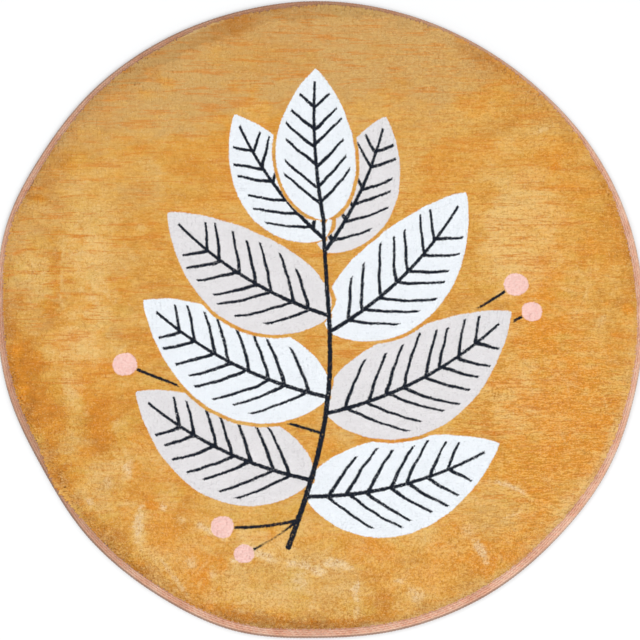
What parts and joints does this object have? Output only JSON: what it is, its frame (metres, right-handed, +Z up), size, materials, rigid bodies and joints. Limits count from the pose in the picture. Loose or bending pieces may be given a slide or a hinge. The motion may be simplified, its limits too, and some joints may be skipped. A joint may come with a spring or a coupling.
{
  "type": "kids rug",
  "caption": "Round short-pile plush rug for a child's room, printed face, cut edge closed by a narrow sewn binding; lies flat on the floor to stand, sit or play on.",
  "frame": {"origin": "under the middle of the rug's outline, on the floor", "axes": "+Z up out of the pile, +Y towards the edge that the nap leans to (top of the picture), +X to the right of the picture"},
  "size_m": [0.8024, 0.7992, 0.009],
  "materials": {
    "printed_pile": "short dense polyester plush, dyed ochre with a printed design, matt with a soft sheen",
    "binding": "salmon-pink sewn edge binding, matt"
  },
  "bodies": {
    "root": {"pile_cloth": "printed_pile", "edge_binding": "binding"}
  },
  "joints": []
}
